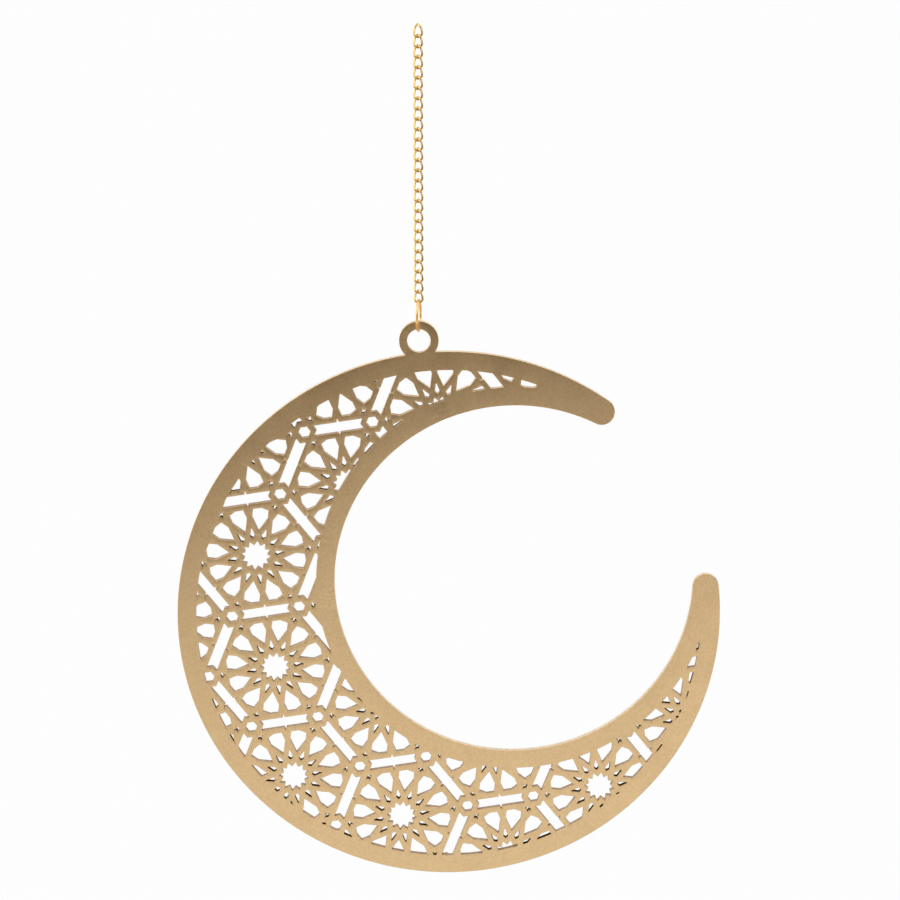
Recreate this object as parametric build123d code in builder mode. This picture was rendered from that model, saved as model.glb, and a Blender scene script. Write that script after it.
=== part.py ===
from build123d import *
import os
from math import ceil, cos, degrees, radians, sin, sqrt, tan

# Hanging crescent ornament: a pierced crescent plate on a jump ring and a curb chain.
# The origin is the hanging point, inside the top of the top link. The plate faces -Y, +Z is up.
# Lengths are in millimetres, angles in degrees.

# Crescent plate
outer_radius = 125.0
inner_radius = 82.4
mouth_angle = 30.7
horn_angle = 23.77
horn_end_radius = 6.0
plate_thickness = 3.0
rim_width = 8.5

# Eyelet on the plate's top edge
eyelet_radius = 8.95
eyelet_hole_radius = 5.25
eyelet_standoff = 5.7
eyelet_angle = 96.0

# Lattice of twelve-pointed stars, cut through the plate inside the rim
star_pitch = 54.0
star_x = -88.45
star_y = 29.9
lattice_turn = -21.5
strap_width = 2.42
strap_angle = 15.35
crossing_inset = 3.87
slot_width = 4.84
hexagon_radius = 2.79
smallest_cut = 0.7

# Jump ring
ring_diameter = 15.2
ring_wire = 1.2
ring_split = 0.2
ring_yaw = 7.0

# Curb chain
link_count = 27
link_inner_length = 4.65
link_width = 4.6
link_wire = 1.0
link_twist = -45.0
chain_turn = -25.0
link_seam = 0.05
play = 0.1

# Counts that shape the pieces
STAR_POINTS = 12
NEIGHBOURS = 6
WIRE_SIDES = 8
CROWN_SIDES = 8
RING_RUNS = 24


def polar(radius, angle):
    return Vector(radius * cos(radians(angle)), radius * sin(radians(angle)))


# Heights along the hanging line, from the top link down
link_pitch = link_inner_length - play
crown_height = (link_inner_length + link_wire) / 2
link_heights = [-link_inner_length / 2 - link_pitch * index for index in range(link_count)]
last_crown_height = link_heights[-1] - crown_height
ring_path_radius = (ring_diameter - ring_wire) / 2
ring_bore_radius = ring_diameter / 2 - ring_wire
ring_height = last_crown_height + (link_wire + ring_wire) / 2 + play - ring_path_radius
plate_seat_rise = ring_bore_radius - sqrt(ring_bore_radius**2 - (plate_thickness / 2) ** 2)
eyelet_height = ring_height - ring_bore_radius + plate_seat_rise + play - eyelet_hole_radius

# The plate's own plane has its zero at the centre of the outer circle
eyelet_spot = polar(outer_radius + eyelet_standoff, eyelet_angle)
plate_plane = Plane(
    origin=(-eyelet_spot.X, plate_thickness / 2, eyelet_height - eyelet_spot.Y),
    x_dir=(1, 0, 0),
    z_dir=(0, -1, 0),
)

# Crescent outline: each horn ends in a round that touches both circles, which places the inner circle
horn_reach = outer_radius - horn_end_radius
horn_span = inner_radius + horn_end_radius
horn_height = horn_reach * sin(radians(horn_angle))
mouth_offset = horn_reach * cos(radians(horn_angle)) - sqrt(horn_span**2 - horn_height**2)
mouth_spot = polar(mouth_offset, mouth_angle)
horn_angles = [mouth_angle + horn_angle, mouth_angle - horn_angle]
horn_spots = [polar(horn_reach, angle) for angle in horn_angles]
cut_spots = [polar(2 * outer_radius, angle) for angle in horn_angles]

with BuildSketch() as outline:
    Circle(outer_radius)
    with Locations(eyelet_spot):
        Circle(eyelet_radius)
    with Locations(mouth_spot):
        Circle(inner_radius, mode=Mode.SUBTRACT)
    Polygon(
        mouth_spot,
        horn_spots[0],
        cut_spots[0],
        cut_spots[1],
        horn_spots[1],
        align=None,
        mode=Mode.SUBTRACT,
    )
    with Locations(*horn_spots):
        Circle(horn_end_radius)
    with Locations(eyelet_spot):
        Circle(eyelet_hole_radius, mode=Mode.SUBTRACT)

# One star of the lattice, with its axis along +X. Straps of one width cross on the axis at the crossing
# radius, again half a point further round, and once more on the next axis.
half_strap = strap_width / 2
half_point = 180 / STAR_POINTS
neighbour_turn = 360 / NEIGHBOURS
half_neighbour = radians(neighbour_turn / 2)
petal_reach = star_pitch / 2 - slot_width / 2 - strap_width
crossing_radius = petal_reach - crossing_inset
strap_slope = radians(strap_angle)
tip_slope = radians(strap_angle + half_point)
notch_slope = radians(strap_angle + 2 * half_point)
tip_crossing = crossing_radius * sin(strap_slope) / sin(tip_slope)
notch_crossing = crossing_radius * sin(strap_slope) / sin(notch_slope)
wedge_start = crossing_radius + half_strap / sin(strap_slope)
wedge_end = petal_reach + strap_width
wedge_half_width = (wedge_end - wedge_start) * tan(strap_slope)

star_cut = []
for point in range(STAR_POINTS):
    star_cut.append(polar(notch_crossing - half_strap / sin(notch_slope), 2 * half_point * point))
    star_cut.append(polar(tip_crossing - half_strap / sin(tip_slope), 2 * half_point * (point + 0.5)))

kite_shoulder = polar(tip_crossing, half_point) + polar(half_strap / cos(tip_slope), half_point - 90)
kite_cut = [
    Vector(notch_crossing + half_strap / sin(notch_slope), 0),
    kite_shoulder,
    Vector(crossing_radius - half_strap / sin(strap_slope), 0),
    Vector(kite_shoulder.X, -kite_shoulder.Y),
]

petal_axis = Axis((0, 0, 0), tuple(polar(1, half_point)))
petal_shoulder = Vector(crossing_radius, half_strap / cos(strap_slope))
petal_corner = Vector(petal_reach, petal_shoulder.Y + crossing_inset * tan(strap_slope))
petal_cut = [
    polar(tip_crossing + half_strap / sin(tip_slope), half_point),
    petal_shoulder,
    petal_corner,
    polar(petal_reach / cos(radians(half_point)), half_point),
    petal_corner.rotate(petal_axis, 180),
    petal_shoulder.rotate(petal_axis, 180),
]

# Arrow-shaped cut between a star and a hexagon
corner_reach = petal_reach / cos(half_neighbour)
arrow_half_width = (corner_reach - wedge_end) / tan(half_neighbour)
arrow_cut = [
    Vector(wedge_start, 0),
    Vector(wedge_end, wedge_half_width),
    Vector(wedge_end, arrow_half_width),
    Vector(corner_reach, 0),
    Vector(wedge_end, -arrow_half_width),
    Vector(wedge_end, -wedge_half_width),
]

# Slot between two stars, notched at its ends by the frames round the hexagons and nicked at its middle
hexagon_spacing = star_pitch / (2 * cos(half_neighbour))
slot_notch = hexagon_spacing / 2 - hexagon_radius - strap_width / cos(half_neighbour)
slot_corner = slot_notch + slot_width / 2 * tan(half_neighbour)
nick_reach = star_pitch / 2 - wedge_start
slot_quarter = [
    Vector(nick_reach, 0),
    Vector(slot_width / 2, wedge_half_width),
    Vector(slot_width / 2, slot_corner),
    Vector(0, slot_notch),
]
slot_cut = slot_quarter + [Vector(-spot.X, spot.Y) for spot in slot_quarter[2::-1]]
slot_cut = slot_cut + [Vector(-spot.X, -spot.Y) for spot in slot_cut[1:-1]]

# Every star whose cell reaches the pierced panel
panel_outer_radius = outer_radius - rim_width
panel_inner_radius = inner_radius + rim_width
star_places = []
star_reach = ceil(2 * outer_radius / star_pitch) + 1
for row in range(-star_reach, star_reach + 1):
    for column in range(-star_reach, star_reach + 1):
        step = polar(star_pitch * column, lattice_turn) + polar(star_pitch * row, lattice_turn + neighbour_turn)
        spot = Vector(star_x, star_y) + step
        inside_outer = spot.length < panel_outer_radius + hexagon_spacing
        outside_inner = (spot - mouth_spot).length > panel_inner_radius - hexagon_spacing
        if inside_outer and outside_inner:
            star_places.append(Location((spot.X, spot.Y, 0), (0, 0, lattice_turn)))

with BuildSketch() as panel:
    Circle(panel_outer_radius)
    with Locations(mouth_spot):
        Circle(panel_inner_radius, mode=Mode.SUBTRACT)

with BuildSketch() as fretwork:
    with Locations(*star_places):
        Polygon(*star_cut, align=None)
        with PolarLocations(0, STAR_POINTS):
            Polygon(*kite_cut, align=None)
            Polygon(*petal_cut, align=None)
        with PolarLocations(0, NEIGHBOURS, start_angle=neighbour_turn / 2):
            Polygon(*arrow_cut, align=None)
        with PolarLocations(hexagon_spacing, 2, neighbour_turn / 2, neighbour_turn, endpoint=True):
            RegularPolygon(hexagon_radius, NEIGHBOURS)
        with PolarLocations(star_pitch / 2, 3, angular_range=2 * neighbour_turn, endpoint=True):
            Polygon(*slot_cut, align=None)
    add(panel.sketch, mode=Mode.INTERSECT)

fretwork_cuts = [cut for cut in fretwork.faces() if cut.area > smallest_cut]

with BuildPart() as crescent:
    with BuildSketch(plate_plane):
        add(outline.sketch)
        add(fretwork_cuts, mode=Mode.SUBTRACT)
    extrude(amount=plate_thickness)

# Jump ring: wire bent into a ring of short straight runs, with a butt split at the back
ring_plane = Plane(
    origin=(0, 0, ring_height),
    x_dir=tuple(polar(1, 90 - ring_yaw)),
    z_dir=tuple(polar(1, -ring_yaw)),
)
split_angle = degrees(ring_split / ring_path_radius)
ring_turn = (360 - split_angle) / RING_RUNS
ring_bends = []
for index in range(RING_RUNS + 1):
    spot = polar(ring_path_radius, split_angle / 2 + ring_turn * index)
    ring_bends.append(ring_plane.from_local_coords(spot))

with BuildPart() as jump_ring:
    with BuildLine() as ring_line:
        Polyline(*ring_bends)
    with BuildSketch(Plane(origin=ring_bends[0], x_dir=ring_plane.z_dir, z_dir=ring_bends[1] - ring_bends[0])):
        RegularPolygon(ring_wire / 2, WIRE_SIDES)
    sweep(path=ring_line.line, transition=Transition.RIGHT)

# One curb link: wire bent into two crowns and twisted about its length, with a butt seam on one side.
# The whole chain hangs turned about its own line by the chain turn.
side_reach = (link_width - link_wire) / 2
crown_corner = side_reach * tan(radians(180 / CROWN_SIDES))
shoulder_height = crown_height - side_reach + crown_corner
quarter_loop = [(side_reach, 0), (side_reach, shoulder_height), (crown_corner, crown_height)]
upper_loop = quarter_loop + [(-x, z) for x, z in reversed(quarter_loop)]
flat_loop = upper_loop + [(-x, -z) for x, z in upper_loop[1:]]
bends = []
for x, z in flat_loop:
    turn = chain_turn + link_twist * z / crown_height
    bends.append(Vector(x, 0, z).rotate(Axis.Z, turn))
seam_side = Vector(1, 0, 0).rotate(Axis.Z, chain_turn)
first_run = (bends[1] - bends[0]).normalized()
last_run = (bends[-1] - bends[-2]).normalized()
bends[0] = bends[0] + first_run * link_seam / 2
bends[-1] = bends[-1] - last_run * link_seam / 2

with BuildPart() as wire_loop:
    with BuildLine() as wire_line:
        Polyline(*bends)
    with BuildSketch(Plane(origin=bends[0], x_dir=seam_side, z_dir=first_run)):
        RegularPolygon(link_wire / 2, WIRE_SIDES)
    sweep(path=wire_line.line, transition=Transition.RIGHT)

# Labels and files
os.makedirs("parts", exist_ok=True)

crescent.part.label = "crescent"
export_step(crescent.part, "parts/crescent.step")

jump_ring.part.label = "jump_ring"
export_step(jump_ring.part, "parts/jump_ring.step")

for index, height in enumerate(link_heights):
    name = f"link_{index + 1:02d}"
    with BuildPart() as link:
        with Locations((0, 0, height)):
            add(wire_loop.part)
    link.part.label = name
    export_step(link.part, f"parts/{name}.step")
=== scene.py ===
import math

import bpy
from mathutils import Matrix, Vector, geometry


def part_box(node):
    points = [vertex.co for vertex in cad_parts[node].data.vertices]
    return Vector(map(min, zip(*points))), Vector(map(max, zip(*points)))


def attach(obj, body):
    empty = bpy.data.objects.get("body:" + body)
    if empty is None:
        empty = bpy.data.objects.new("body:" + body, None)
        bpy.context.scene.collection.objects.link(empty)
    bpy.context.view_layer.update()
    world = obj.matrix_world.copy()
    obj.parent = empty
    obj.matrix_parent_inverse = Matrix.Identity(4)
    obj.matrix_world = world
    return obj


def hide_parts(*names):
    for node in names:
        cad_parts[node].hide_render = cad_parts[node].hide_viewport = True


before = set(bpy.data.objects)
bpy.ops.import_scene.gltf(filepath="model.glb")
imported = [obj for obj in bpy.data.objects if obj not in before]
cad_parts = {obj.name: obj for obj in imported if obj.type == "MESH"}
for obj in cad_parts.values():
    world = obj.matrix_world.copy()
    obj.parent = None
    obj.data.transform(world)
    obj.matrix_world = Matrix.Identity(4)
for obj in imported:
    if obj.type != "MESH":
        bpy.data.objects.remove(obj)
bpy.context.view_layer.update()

# Looks for the hanging crescent ornament: a gold-painted pierced plate on a ring and a curb chain.
# The frame is the part's own: the hanging point is the origin, the plate faces -Y, +Z is up.
# Sizes of pieces are in millimetres and become metres through MM.

MM = 0.001

# Plate, in the part's frame: its circles, its rim, its eyelet, and its horns' angles in degrees
PLATE_X = 13.662
PLATE_Z = -270.606
OUTER_RADIUS = 125.0
MOUTH_X = 43.456
MOUTH_Z = -252.915
INNER_RADIUS = 82.4
RIM_WIDTH = 8.5
EYELET_Z = -140.622
EYELET_RADIUS = 8.95
EYELET_HOLE_RADIUS = 5.25
HORN_END_RADIUS = 6.0
MOUTH_ANGLE = 30.7
HORN_ANGLE = 23.77

# Edges of the plate: soft edges, rounded corners, true arcs and the area that parts wide cuts from narrow
EDGE_ROUND = 0.18
EDGE_ROUND_TRIES = 8
EDGE_ROUND_CUT = 0.6
LEAST_LEAN = 0.3
CORNER_ROUND = 0.25
CORNER_TURN = 25.0
CORNER_TURN_MOST = 150.0
CORNER_REACH = 0.4
CORNER_STEP = 30.0
CIRCLE_SAG = 0.01
ON_CIRCLE = 0.02
WIDE_CUT_AREA = 14.0

# Reading the plate's mesh, in metres, and filling its flat faces
FRONT_TOLERANCE = 1e-6
KEYS_PER_METRE = 1e6
FILL_TOLERANCE = 1e-6
FILL_INSIDE = 1
FLAT_WEIGHT = 100

# Material slots of the plate, and the row of its side faces that is the straight wall
FACE_SLOT = 0
OUTLINE_SLOT = 1
WIDE_WALL_SLOT = 2
NARROW_WALL_SLOT = 3
WALL_ROW = 2

# Thin slits of the lattice at the lower rim, which only this model has: two ends and the width
SMALL_SLITS = [
    ((84.3, -363.5), (85.8, -362.1), 0.8),
    ((91.9, -357.0), (93.4, -356.3), 0.6),
    ((110.6, -336.0), (113.0, -332.7), 0.6),
    ((119.3, -319.4), (120.4, -318.9), 0.9),
    ((120.9, -316.7), (121.4, -315.7), 1.0),
    ((124.1, -309.3), (124.7, -306.7), 0.5),
]

# Chain
LINK_COUNT = 27
LINK_PITCH = 4.55
LINK_TOP = -2.325
LINK_SIDE = 1.8
LINK_CROWN = 2.825
LINK_WIRE_RADIUS = 0.47
LINK_TWIST = -45.0
CHAIN_TURN = -25.0
LINK_STEPS = 64
WIRE_SIDES = 16

# Ring
RING_Z = -129.25
RING_RADIUS = 7.0
RING_WIRE_RADIUS = 0.592
RING_YAW = 7.0
RING_SPLIT = 0.2
RING_STEPS = 120

# Stops of the colour ramps, and the span in which most of a noise lies
TWO_STOPS = (0.30, 0.70)
THREE_STOPS = (0.25, 0.60, 0.85)
NOISE_SPAN = (0.3, 0.7)

# Gold paint on the faces: noise scales are per metre, bump heights in metres
PAINT_DARK = ((0.745, 0.520, 0.272), (0.850, 0.600, 0.322))
PAINT_LIGHT = ((0.798, 0.562, 0.295), (0.903, 0.643, 0.348))
PAINT_ROUGHNESS = (0.27, 0.33)
FLECK_SCALE = 900.0
CLOUD_SCALE = 60.0
TOOTH_SCALE = 520.0
TOOTH_ROUGHNESS = 0.65
TOOTH_HEIGHT = 0.00005
TOOTH_STRENGTH = 0.5

# Paint on the outline and on the walls of the cuts, with grain that is drawn out across the board
GRAIN_HEIGHT = 0.00006
EDGE_COLOURS = ((0.64, 0.48, 0.32), (0.88, 0.70, 0.50), (0.94, 0.80, 0.64))
EDGE_ROUGHNESS = (0.36, 0.50)
EDGE_METAL = 0.8
EDGE_GRAIN_SCALE = 900.0
EDGE_GRAIN_STRETCH = (1.0, 0.25, 1.0)
EDGE_GRAIN_STRENGTH = 0.5
WALL_GRAIN_STRETCH = (1.0, 0.3, 1.0)
WALL_GRAIN_STRENGTH = 0.6
WIDE_WALL_COLOURS = ((0.29, 0.18, 0.10), (0.55, 0.39, 0.25), (0.74, 0.56, 0.40))
WIDE_WALL_ROUGHNESS = (0.45, 0.60)
WIDE_WALL_METAL = 0.45
WIDE_WALL_GRAIN_SCALE = 800.0
# The narrow cuts' near-black is partly bare charred board and partly painted shade of these deep, narrow
# slits
NARROW_WALL_CHAR_AND_SHADE_COLOURS = ((0.040, 0.016, 0.003), (0.150, 0.065, 0.010), (0.30, 0.15, 0.040))
NARROW_WALL_ROUGHNESS = 0.8
NARROW_WALL_GRAIN_SCALE = 900.0

# Painted light on the cut walls, a pale tone towards the upper horn where the walls are lit from above: its
# heading in the plate, and where along it, in metres, it starts and is full
PAINTED_LIGHT_WALL_COLOURS = ((0.62, 0.50, 0.38), (0.86, 0.74, 0.60), (0.92, 0.82, 0.70))
PAINTED_LIGHT_HEADING = (0.5, 0.0, 1.0)
PAINTED_LIGHT_SPAN = (-0.174, -0.160)

# Plating of the ring and the chain: dark and light parts, smooth and rough parts, wear and polish
RING_COLOURS = ((0.80, 0.48, 0.17), (0.93, 0.60, 0.25))
RING_ROUGHNESS = (0.26, 0.38)
CHAIN_COLOURS = ((0.63, 0.42, 0.14), (0.80, 0.56, 0.23))
CHAIN_ROUGHNESS = (0.14, 0.26)
WEAR_SCALE = 1300.0
POLISH_SCALE = 3000.0
POLISH_DETAIL = 2.0
POLISH_HEIGHT = 0.00001
POLISH_STRENGTH = 0.25

# Camera, from the photograph's perspective: places in metres, lens and sensor in millimetres
CAMERA_PLACE = (-0.00680, -1.20990, 0.09410)
CAMERA_TARGET = (0.01402, -0.00150, -0.19111)
CAMERA_LENS = 109.376
SENSOR = 36.0

# Studio, in metres: the floor and its backdrop
FLOOR_Z = -1.2
FLOOR_FRONT = -2.4
FLOOR_BACK = 2.2
FLOOR_HALF_WIDTH = 2.6
BACKDROP_BEND = 0.6
BACKDROP_TOP = 2.4
BEND_STEPS = 12
SWEEP_COLOUR = (0.82, 0.82, 0.82, 1.0)
SWEEP_WHITE_SHARE = 0.96

# Surround: the light that it gives, and the white that is seen
SURROUND_COLOUR = (0.75, 0.75, 0.75, 1.0)
SURROUND_STRENGTH = 0.8
WHITE = (1.0, 1.0, 1.0, 1.0)

# Dark cards: four corners and a colour
FRONT_CARD = [(-1.6, -1.7, -0.93), (1.6, -1.7, -0.33), (1.6, -1.7, 1.1), (-1.6, -1.7, 1.1)]
FRONT_CARD_COLOUR = (0.08, 0.042, 0.008, 1.0)
LOW_CARD = [(-0.10, -0.95, -1.15), (1.3, -0.95, -1.15), (1.3, -0.2, -1.15), (-0.10, -0.2, -1.15)]
LOW_CARD_COLOUR = (0.10, 0.065, 0.03, 1.0)

# Soft lamps: name, place, target, width, height and watts
LAMPS = [
    ("top_lamp", (0.0, -0.25, 1.1), (0.0, 0.0, -0.25), 3.2, 2.8, 12.0),
    ("left_lamp", (-1.3, -0.5, 0.35), (0.0, 0.0, -0.2), 2.0, 2.0, 7.0),
    ("front_lamp", (-0.3, -1.6, 0.9), (0.0, 0.0, -0.1), 2.4, 1.4, 6.0),
]


# Small helpers
def polar(radius, angle):
    turn = math.radians(angle)
    return radius * math.cos(turn), radius * math.sin(turn)


def new_object(name, data):
    made = bpy.data.objects.new(name, data)
    bpy.context.scene.collection.objects.link(made)
    return made


def aim(item, place, target):
    item.location = place
    item.rotation_euler = (Vector(target) - Vector(place)).to_track_quat("-Z", "Y").to_euler()


def mesh_from(name, points, faces):
    mesh = bpy.data.meshes.new(name)
    mesh.from_pydata([Vector(point) * MM for point in points], [], faces)
    mesh.update()
    return mesh


# The plate's cut edges, read from the front face of the part's own mesh
def front_loops(mesh):
    front = min(vertex.co.y for vertex in mesh.vertices)
    places = {}
    index_of = {}
    for vertex in mesh.vertices:
        if vertex.co.y - front < FRONT_TOLERANCE:
            key = (round(vertex.co.x * KEYS_PER_METRE), round(vertex.co.z * KEYS_PER_METRE))
            places[key] = (vertex.co.x / MM, vertex.co.z / MM)
            index_of[vertex.index] = key
    edges = set()
    for face in mesh.polygons:
        corners = [index_of.get(index) for index in face.vertices]
        if None in corners:
            continue
        for start, end in zip(corners, corners[1:] + corners[:1]):
            edges.add((start, end))
    following = {start: end for start, end in edges if (end, start) not in edges}
    loops = []
    while following:
        start = min(following)
        loop = [start]
        spot = following.pop(start)
        while spot != start:
            loop.append(spot)
            spot = following.pop(spot)
        loops.append([places[key] for key in loop])
    return loops


def loop_area(loop):
    total = 0.0
    for (x0, z0), (x1, z1) in zip(loop, loop[1:] + loop[:1]):
        total += x0 * z1 - x1 * z0
    return total / 2


def plate_circles():
    circles = [
        (PLATE_X, PLATE_Z, OUTER_RADIUS),
        (PLATE_X, PLATE_Z, OUTER_RADIUS - RIM_WIDTH),
        (MOUTH_X, MOUTH_Z, INNER_RADIUS),
        (MOUTH_X, MOUTH_Z, INNER_RADIUS + RIM_WIDTH),
        (0.0, EYELET_Z, EYELET_RADIUS),
        (0.0, EYELET_Z, EYELET_HOLE_RADIUS),
    ]
    for side in (-1, 1):
        x, z = polar(OUTER_RADIUS - HORN_END_RADIUS, MOUTH_ANGLE + side * HORN_ANGLE)
        circles.append((PLATE_X + x, PLATE_Z + z, HORN_END_RADIUS))
    return circles


CIRCLES = plate_circles()


def shared_circle(a, b):
    for x, z, radius in CIRCLES:
        off_a = abs(math.hypot(a[0] - x, a[1] - z) - radius)
        off_b = abs(math.hypot(b[0] - x, b[1] - z) - radius)
        if off_a < ON_CIRCLE and off_b < ON_CIRCLE:
            return x, z, radius
    return None


def smooth_arcs(loop):
    """Adds points on the true circles between the facets' corners."""
    finer = []
    for a, b in zip(loop, loop[1:] + loop[:1]):
        finer.append(a)
        circle = shared_circle(a, b)
        if circle is None:
            continue
        x, z, radius = circle
        start = math.atan2(a[1] - z, a[0] - x)
        sweep = math.atan2(b[1] - z, b[0] - x) - start
        sweep = (sweep + math.pi) % (2 * math.pi) - math.pi
        steps = math.ceil(abs(sweep) * radius / math.sqrt(8 * radius * CIRCLE_SAG))
        for step in range(1, steps):
            turn = start + sweep * step / steps
            finer.append((x + radius * math.cos(turn), z + radius * math.sin(turn)))
    return finer


def round_corners(loop):
    """Replaces each sharp corner by a small round, as a cutting beam leaves it."""
    rounded = []
    count = len(loop)
    for index in range(count):
        before = Vector(loop[index - 1])
        spot = Vector(loop[index])
        after = Vector(loop[(index + 1) % count])
        run_in = spot - before
        run_out = after - spot
        turn = math.degrees(run_in.angle(run_out, 0.0))
        if turn < CORNER_TURN:
            rounded.append(tuple(spot))
            continue
        reach = CORNER_ROUND * math.tan(math.radians(min(turn, CORNER_TURN_MOST)) / 2)
        reach = min(reach, CORNER_REACH * run_in.length, CORNER_REACH * run_out.length)
        start = spot - run_in.normalized() * reach
        end = spot + run_out.normalized() * reach
        steps = max(2, round(turn / CORNER_STEP))
        for step in range(steps + 1):
            share = step / steps
            low = start.lerp(spot, share)
            high = spot.lerp(end, share)
            rounded.append(tuple(low.lerp(high, share)))
    return rounded


def inset(loop, distances):
    """Moves each point of a loop into the material, which lies on its left."""
    moved = []
    count = len(loop)
    for index in range(count):
        before = Vector(loop[index - 1])
        spot = Vector(loop[index])
        after = Vector(loop[(index + 1) % count])
        run_in = (spot - before).normalized()
        run_out = (after - spot).normalized()
        left_in = Vector((-run_in.y, run_in.x))
        left_out = Vector((-run_out.y, run_out.x))
        lean = max(LEAST_LEAN, 1 + left_in.dot(left_out))
        moved.append(tuple(spot + (left_in + left_out) * (distances[index] / lean)))
    return moved


def edge_rounds(loop):
    """The edge round at each point, less where a short edge would turn over when it moves."""
    count = len(loop)
    rounds = [EDGE_ROUND] * count
    for _ in range(EDGE_ROUND_TRIES):
        moved = inset(loop, [2 * size for size in rounds])
        turned = []
        for index in range(count):
            beside = (index + 1) % count
            run = Vector(loop[beside]) - Vector(loop[index])
            new_run = Vector(moved[beside]) - Vector(moved[index])
            if run.dot(new_run) <= 0:
                turned.extend((index, beside))
        if not turned:
            break
        for index in set(turned):
            rounds[index] *= EDGE_ROUND_CUT
    return rounds


def slit_loop(start, end, width):
    """Corners of a thin straight cut, in the order that keeps the material on the left."""
    start = Vector(start)
    end = Vector(end)
    run = (end - start).normalized()
    aside = Vector((-run.y, run.x)) * (width / 2)
    return [tuple(spot) for spot in (start + aside, end + aside, end - aside, start - aside)]


def face_triangles(loops):
    """Triangles of the flat face between the outline, which is first, and the holes."""
    flat = []
    rings = []
    for loop in loops:
        ring = list(range(len(flat), len(flat) + len(loop)))
        rings.append(ring if loop_area(loop) > 0 else ring[::-1])
        flat.extend(Vector(spot) for spot in loop)
    filled = geometry.delaunay_2d_cdt(flat, [], rings, FILL_INSIDE, FILL_TOLERANCE)
    out_places, _, out_faces, from_places, _, from_faces = filled
    if len(out_places) != len(flat):
        raise RuntimeError("the plate's cuts cross each other")
    triangles = []
    for corners, owners in zip(out_faces, from_faces):
        if list(owners) == [0]:
            triangles.append([from_places[corner][0] for corner in corners])
    return triangles


def plate_loops(mesh):
    """The outline first, then the cuts from the smallest to the largest."""
    loops = [round_corners(smooth_arcs(loop)) for loop in front_loops(mesh)]
    loops.extend(round_corners(slit_loop(*slit)) for slit in SMALL_SLITS)
    loops.sort(key=loop_area, reverse=True)
    return loops


def edge_rows(front, back):
    """Each row of points from front to back: its share of the edge round, and its depth."""
    midway = 1 - math.sqrt(0.5)
    return [
        (1.0, front),
        (midway, front + EDGE_ROUND * midway),
        (0.0, front + EDGE_ROUND),
        (0.0, back - EDGE_ROUND),
        (midway, back - EDGE_ROUND * midway),
        (1.0, back),
    ]


def wall_slot(order, loop):
    if order == 0:
        return OUTLINE_SLOT
    if abs(loop_area(loop)) > WIDE_CUT_AREA:
        return WIDE_WALL_SLOT
    return NARROW_WALL_SLOT


def build_plate(node):
    loops = plate_loops(node.data)
    rounds = [edge_rounds(loop) for loop in loops]
    low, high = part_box("crescent")
    rows = edge_rows(low.y / MM, high.y / MM)
    points = []
    starts = []
    for share, y in rows:
        starts.append(len(points))
        for loop, sizes in zip(loops, rounds):
            for x, z in inset(loop, [size * share for size in sizes]):
                x = min(max(x, low.x / MM), high.x / MM)
                z = min(max(z, low.z / MM), high.z / MM)
                points.append((x, y, z))
    faces = []
    slots = []
    for corners in face_triangles([inset(loop, sizes) for loop, sizes in zip(loops, rounds)]):
        faces.append([starts[0] + corner for corner in corners])
        faces.append([starts[-1] + corner for corner in reversed(corners)])
        slots.extend((FACE_SLOT, FACE_SLOT))
    offset = 0
    for order, loop in enumerate(loops):
        count = len(loop)
        for row in range(len(rows) - 1):
            slot = wall_slot(order, loop) if row == WALL_ROW else FACE_SLOT
            for index in range(count):
                a = offset + index
                b = offset + (index + 1) % count
                faces.append([starts[row] + b, starts[row] + a, starts[row + 1] + a, starts[row + 1] + b])
                slots.append(slot)
        offset += count
    mesh = mesh_from("plate", points, faces)
    for face, slot in zip(mesh.polygons, slots):
        face.material_index = slot
        face.use_smooth = True
    made = new_object("crescent_plate", mesh)
    even = made.modifiers.new("flat faces", "WEIGHTED_NORMAL")
    even.weight = FLAT_WEIGHT
    even.keep_sharp = False
    return made


# Round wire along a closed or open line of centres
def tube(name, centres, outwards, radius, closed):
    points = []
    faces = []
    count = len(centres)
    for index in range(count):
        ahead = centres[(index + 1) % count] if closed else centres[min(index + 1, count - 1)]
        behind = centres[index - 1] if closed else centres[max(index - 1, 0)]
        heading = (ahead - behind).normalized()
        outward = (outwards[index] - heading * outwards[index].dot(heading)).normalized()
        across = heading.cross(outward)
        for side in range(WIRE_SIDES):
            turn = 2 * math.pi * side / WIRE_SIDES
            points.append(centres[index] + (outward * math.cos(turn) + across * math.sin(turn)) * radius)
    spans = count if closed else count - 1
    for index in range(spans):
        here = index * WIRE_SIDES
        there = (index + 1) % count * WIRE_SIDES
        for side in range(WIRE_SIDES):
            beside = (side + 1) % WIRE_SIDES
            faces.append([here + side, here + beside, there + beside, there + side])
    if not closed:
        faces.append(list(reversed(range(WIRE_SIDES))))
        faces.append(list(range((count - 1) * WIRE_SIDES, count * WIRE_SIDES)))
    mesh = mesh_from(name, points, faces)
    for face in mesh.polygons:
        face.use_smooth = len(face.vertices) == 4
    return mesh


def link_line():
    """Centres and outward directions of one link's wire: a long oval twisted about its length."""
    straight = LINK_CROWN - LINK_SIDE
    around = 4 * straight + 2 * math.pi * LINK_SIDE
    centres = []
    outwards = []
    for step in range(LINK_STEPS):
        run = around * step / LINK_STEPS
        half = around / 2
        flip = 1 if run < half else -1
        run = run % half
        if run < straight:
            x, z, out_x, out_z = LINK_SIDE, run, 1.0, 0.0
        elif run < straight + math.pi * LINK_SIDE:
            turn = (run - straight) / LINK_SIDE
            out_x, out_z = math.cos(turn), math.sin(turn)
            x, z = LINK_SIDE * out_x, straight + LINK_SIDE * out_z
        else:
            x, z, out_x, out_z = -LINK_SIDE, half - run, -1.0, 0.0
        x, z, out_x, out_z = x * flip, z * flip, out_x * flip, out_z * flip
        twist = math.radians(CHAIN_TURN + LINK_TWIST * z / LINK_CROWN)
        centres.append(Vector((x * math.cos(twist), x * math.sin(twist), z)))
        outwards.append(Vector((out_x * math.cos(twist), out_x * math.sin(twist), out_z)))
    return centres, outwards


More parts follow.
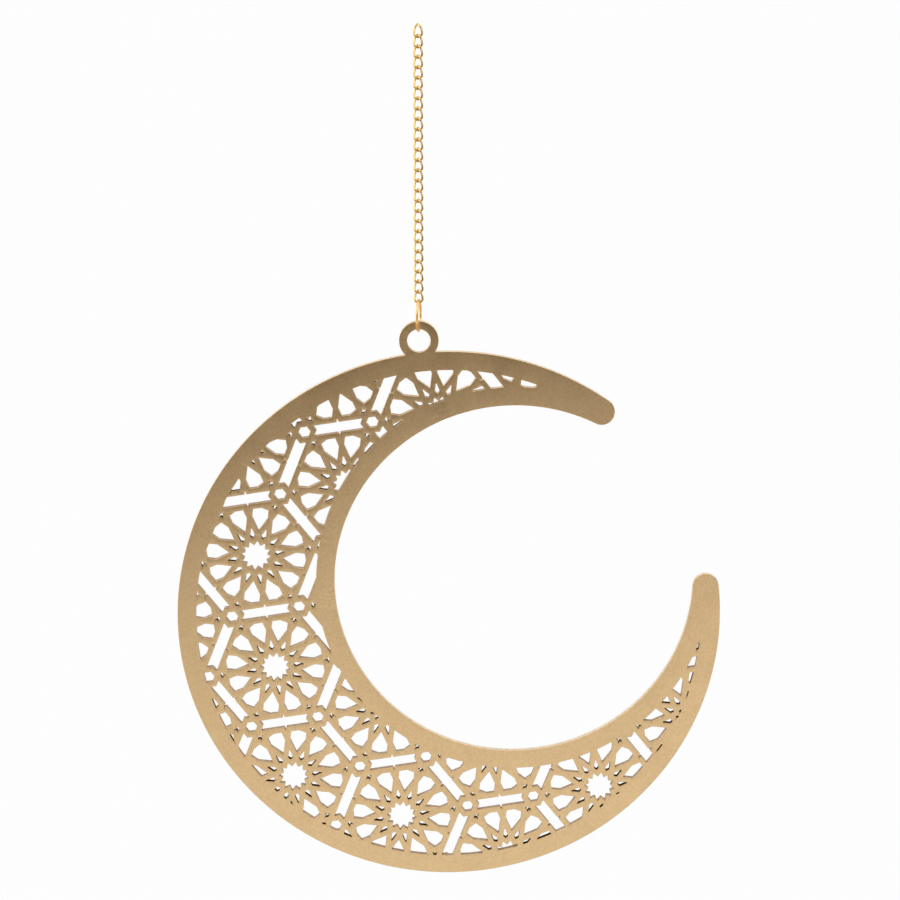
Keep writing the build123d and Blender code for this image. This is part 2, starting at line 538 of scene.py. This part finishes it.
def build_link(index, centres, outwards):
    drop = Vector((0, 0, LINK_TOP - LINK_PITCH * index))
    name = f"link_{index + 1:02d}"
    mesh = tube(name + "_wire", [centre + drop for centre in centres], outwards, LINK_WIRE_RADIUS, True)
    return new_object("wire_" + name, mesh)


def build_ring():
    split = RING_SPLIT / RING_RADIUS
    yaw = math.radians(RING_YAW)
    centres = []
    outwards = []
    for step in range(RING_STEPS + 1):
        turn = split / 2 + (2 * math.pi - split) * step / RING_STEPS
        level = math.cos(turn)
        outward = Vector((level * math.sin(yaw), level * math.cos(yaw), math.sin(turn)))
        centres.append(outward * RING_RADIUS + Vector((0, 0, RING_Z)))
        outwards.append(outward)
    return new_object("wire_jump_ring", tube("ring_wire", centres, outwards, RING_WIRE_RADIUS, False))


# Materials
class Nodes:
    """A new material's node tree, with short calls for the nodes used here."""

    def __init__(self, name):
        self.material = bpy.data.materials.new(name)
        self.material.use_nodes = True
        self.tree = self.material.node_tree
        self.shader = self.tree.nodes["Principled BSDF"]
        self.place = self.tree.nodes.new("ShaderNodeTexCoord").outputs["Object"]

    def link(self, source, target):
        self.tree.links.new(source, target)

    def noise(self, scale, detail=3.0, rough=0.5, stretch=None):
        node = self.tree.nodes.new("ShaderNodeTexNoise")
        node.inputs["Scale"].default_value = scale
        node.inputs["Detail"].default_value = detail
        node.inputs["Roughness"].default_value = rough
        place = self.place
        if stretch is not None:
            spread = self.tree.nodes.new("ShaderNodeMapping")
            spread.inputs["Scale"].default_value = stretch
            self.link(place, spread.inputs["Vector"])
            place = spread.outputs["Vector"]
        self.link(place, node.inputs["Vector"])
        return node.outputs["Fac"]

    def ramp(self, source, stops, colours):
        node = self.tree.nodes.new("ShaderNodeValToRGB")
        while len(node.color_ramp.elements) < len(stops):
            node.color_ramp.elements.new(0.5)
        for element, position, colour in zip(node.color_ramp.elements, stops, colours):
            element.position = position
            element.color = (*colour, 1.0)
        self.link(source, node.inputs["Fac"])
        return node.outputs["Color"]

    def range(self, source, span, result):
        node = self.tree.nodes.new("ShaderNodeMapRange")
        node.inputs["From Min"].default_value = span[0]
        node.inputs["From Max"].default_value = span[1]
        node.inputs["To Min"].default_value = result[0]
        node.inputs["To Max"].default_value = result[1]
        self.link(source, node.inputs["Value"])
        return node.outputs["Result"]

    def along(self, direction):
        node = self.tree.nodes.new("ShaderNodeVectorMath")
        node.operation = "DOT_PRODUCT"
        node.inputs[1].default_value = direction
        self.link(self.place, node.inputs[0])
        return node.outputs["Value"]

    def mix(self, share, a, b):
        node = self.tree.nodes.new("ShaderNodeMix")
        node.data_type = "RGBA"
        self.link(share, node.inputs["Factor"])
        self.link(a, node.inputs["A"])
        self.link(b, node.inputs["B"])
        return node.outputs["Result"]

    def bump(self, source, distance, strength):
        node = self.tree.nodes.new("ShaderNodeBump")
        node.inputs["Distance"].default_value = distance
        node.inputs["Strength"].default_value = strength
        self.link(source, node.inputs["Height"])
        self.link(node.outputs["Normal"], self.shader.inputs["Normal"])

    def set(self, **values):
        for name, value in values.items():
            self.shader.inputs[name.replace("_", " ")].default_value = value


def gold_paint():
    made = Nodes("gold_paint")
    fleck = made.noise(FLECK_SCALE)
    cloud = made.noise(CLOUD_SCALE)
    dark = made.ramp(fleck, TWO_STOPS, PAINT_DARK)
    light = made.ramp(fleck, TWO_STOPS, PAINT_LIGHT)
    made.link(made.mix(cloud, dark, light), made.shader.inputs["Base Color"])
    made.link(made.range(cloud, NOISE_SPAN, PAINT_ROUGHNESS), made.shader.inputs["Roughness"])
    made.bump(made.noise(TOOTH_SCALE, rough=TOOTH_ROUGHNESS), TOOTH_HEIGHT, TOOTH_STRENGTH)
    made.set(Metallic=1.0)
    return made.material


def edge_paint():
    made = Nodes("edge_paint")
    grain = made.noise(EDGE_GRAIN_SCALE, stretch=EDGE_GRAIN_STRETCH)
    made.link(made.ramp(grain, THREE_STOPS, EDGE_COLOURS), made.shader.inputs["Base Color"])
    made.link(made.range(grain, NOISE_SPAN, EDGE_ROUGHNESS), made.shader.inputs["Roughness"])
    made.bump(grain, GRAIN_HEIGHT, EDGE_GRAIN_STRENGTH)
    made.set(Metallic=EDGE_METAL)
    return made.material


def wall_colour(made, grain, colours):
    """The cut walls' brown, which gives way to painted light, a pale tone of walls lit from above, towards
    the upper horn.
    """
    brown = made.ramp(grain, THREE_STOPS, colours)
    # Painted light: pale walls towards the top, as if lit from above
    pale = made.ramp(grain, THREE_STOPS, PAINTED_LIGHT_WALL_COLOURS)
    share = made.range(made.along(PAINTED_LIGHT_HEADING), PAINTED_LIGHT_SPAN, (0.0, 1.0))
    made.link(made.mix(share, brown, pale), made.shader.inputs["Base Color"])


def wide_wall():
    made = Nodes("wide_cut_wall")
    grain = made.noise(WIDE_WALL_GRAIN_SCALE, stretch=WALL_GRAIN_STRETCH)
    wall_colour(made, grain, WIDE_WALL_COLOURS)
    made.link(made.range(grain, NOISE_SPAN, WIDE_WALL_ROUGHNESS), made.shader.inputs["Roughness"])
    made.bump(grain, GRAIN_HEIGHT, WALL_GRAIN_STRENGTH)
    made.set(Metallic=WIDE_WALL_METAL)
    return made.material


def narrow_wall():
    made = Nodes("narrow_cut_wall")
    grain = made.noise(NARROW_WALL_GRAIN_SCALE, stretch=WALL_GRAIN_STRETCH)
    # Near-black of bare charred board with painted shade of the narrow slits
    wall_colour(made, grain, NARROW_WALL_CHAR_AND_SHADE_COLOURS)
    made.bump(grain, GRAIN_HEIGHT, WALL_GRAIN_STRENGTH)
    made.set(Roughness=NARROW_WALL_ROUGHNESS, Specular_IOR_Level=0.0)
    return made.material


def plated_wire(name, colours, roughness):
    made = Nodes(name)
    wear = made.noise(WEAR_SCALE)
    made.link(made.ramp(wear, TWO_STOPS, colours), made.shader.inputs["Base Color"])
    made.link(made.range(wear, NOISE_SPAN, roughness), made.shader.inputs["Roughness"])
    made.bump(made.noise(POLISH_SCALE, POLISH_DETAIL), POLISH_HEIGHT, POLISH_STRENGTH)
    made.set(Metallic=1.0)
    return made.material


# Pieces
plate = build_plate(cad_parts["crescent"])
for material in (gold_paint(), edge_paint(), wide_wall(), narrow_wall()):
    plate.data.materials.append(material)
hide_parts("crescent")
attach(plate, "crescent")

ring = build_ring()
ring.data.materials.append(plated_wire("ring_plating", RING_COLOURS, RING_ROUGHNESS))
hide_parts("jump_ring")
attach(ring, "jump_ring")

chain_plating = plated_wire("chain_plating", CHAIN_COLOURS, CHAIN_ROUGHNESS)
link_centres, link_outwards = link_line()
for index in range(LINK_COUNT):
    link = build_link(index, link_centres, link_outwards)
    link.data.materials.append(chain_plating)
    node = f"link_{index + 1:02d}"
    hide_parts(node)
    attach(link, node)


# Studio: a pale sweep, soft lamps, two dark cards that only reflections see, and the white surround
def shows_white(tree):
    """One for camera, glossy and transmission rays, which see the white background."""
    rays = tree.nodes.new("ShaderNodeLightPath")
    total = rays.outputs["Is Camera Ray"]
    for name in ("Is Glossy Ray", "Is Transmission Ray"):
        node = tree.nodes.new("ShaderNodeMath")
        node.operation = "MAXIMUM"
        tree.links.new(total, node.inputs[0])
        tree.links.new(rays.outputs[name], node.inputs[1])
        total = node.outputs[0]
    return total


def sweep_material():
    material = bpy.data.materials.new("pale_sweep")
    material.use_nodes = True
    tree = material.node_tree
    tree.nodes.remove(tree.nodes["Principled BSDF"])
    matte = tree.nodes.new("ShaderNodeBsdfDiffuse")
    matte.inputs["Color"].default_value = SWEEP_COLOUR
    glow = tree.nodes.new("ShaderNodeEmission")
    glow.inputs["Color"].default_value = WHITE
    share = tree.nodes.new("ShaderNodeMath")
    share.operation = "MULTIPLY"
    share.inputs[1].default_value = SWEEP_WHITE_SHARE
    tree.links.new(shows_white(tree), share.inputs[0])
    blend = tree.nodes.new("ShaderNodeMixShader")
    tree.links.new(share.outputs[0], blend.inputs["Fac"])
    tree.links.new(matte.outputs[0], blend.inputs[1])
    tree.links.new(glow.outputs[0], blend.inputs[2])
    tree.links.new(blend.outputs[0], tree.nodes["Material Output"].inputs["Surface"])
    return material


def build_sweep():
    profile = [(FLOOR_FRONT, FLOOR_Z)]
    for step in range(BEND_STEPS + 1):
        turn = math.pi / 2 * step / BEND_STEPS
        y = FLOOR_BACK - BACKDROP_BEND + BACKDROP_BEND * math.sin(turn)
        z = FLOOR_Z + BACKDROP_BEND - BACKDROP_BEND * math.cos(turn)
        profile.append((y, z))
    profile.append((FLOOR_BACK, BACKDROP_TOP))
    points = []
    for y, z in profile:
        points.append((-FLOOR_HALF_WIDTH / MM, y / MM, z / MM))
        points.append((FLOOR_HALF_WIDTH / MM, y / MM, z / MM))
    faces = [[2 * row, 2 * row + 1, 2 * row + 3, 2 * row + 2] for row in range(len(profile) - 1)]
    mesh = mesh_from("sweep", points, faces)
    for face in mesh.polygons:
        face.use_smooth = True
    made = new_object("sweep", mesh)
    made.data.materials.append(sweep_material())


def build_card(name, corners, colour):
    """A card that only reflections see, as a studio flag stands outside the picture."""
    mesh = mesh_from(name, [Vector(corner) / MM for corner in corners], [[0, 1, 2, 3]])
    material = bpy.data.materials.new(name)
    material.use_nodes = True
    shader = material.node_tree.nodes["Principled BSDF"]
    shader.inputs["Base Color"].default_value = colour
    shader.inputs["Roughness"].default_value = 1.0
    shader.inputs["Specular IOR Level"].default_value = 0.0
    made = new_object(name, mesh)
    made.data.materials.append(material)
    made.visible_camera = False
    made.visible_diffuse = False
    made.visible_transmission = False
    made.visible_shadow = False


def soft_lamp(name, place, target, width, height, watts):
    data = bpy.data.lights.new(name, "AREA")
    data.shape = "RECTANGLE"
    data.size = width
    data.size_y = height
    data.energy = watts
    aim(new_object(name, data), place, target)


def build_world():
    world = bpy.data.worlds.new("white_surround")
    bpy.context.scene.world = world
    world.use_nodes = True
    tree = world.node_tree
    dim = tree.nodes["Background"]
    dim.inputs["Color"].default_value = SURROUND_COLOUR
    dim.inputs["Strength"].default_value = SURROUND_STRENGTH
    white = tree.nodes.new("ShaderNodeBackground")
    white.inputs["Color"].default_value = WHITE
    white.inputs["Strength"].default_value = 1.0
    blend = tree.nodes.new("ShaderNodeMixShader")
    tree.links.new(shows_white(tree), blend.inputs["Fac"])
    tree.links.new(dim.outputs[0], blend.inputs[1])
    tree.links.new(white.outputs[0], blend.inputs[2])
    tree.links.new(blend.outputs[0], tree.nodes["World Output"].inputs["Surface"])


build_world()
build_sweep()
build_card("front_card", FRONT_CARD, FRONT_CARD_COLOUR)
build_card("low_card", LOW_CARD, LOW_CARD_COLOUR)
for lamp in LAMPS:
    soft_lamp(*lamp)

camera_data = bpy.data.cameras.new("camera")
camera_data.lens = CAMERA_LENS
camera_data.sensor_width = SENSOR
camera = new_object("camera", camera_data)
aim(camera, CAMERA_PLACE, CAMERA_TARGET)
bpy.context.scene.camera = camera
bpy.context.scene.view_settings.view_transform = "Standard"
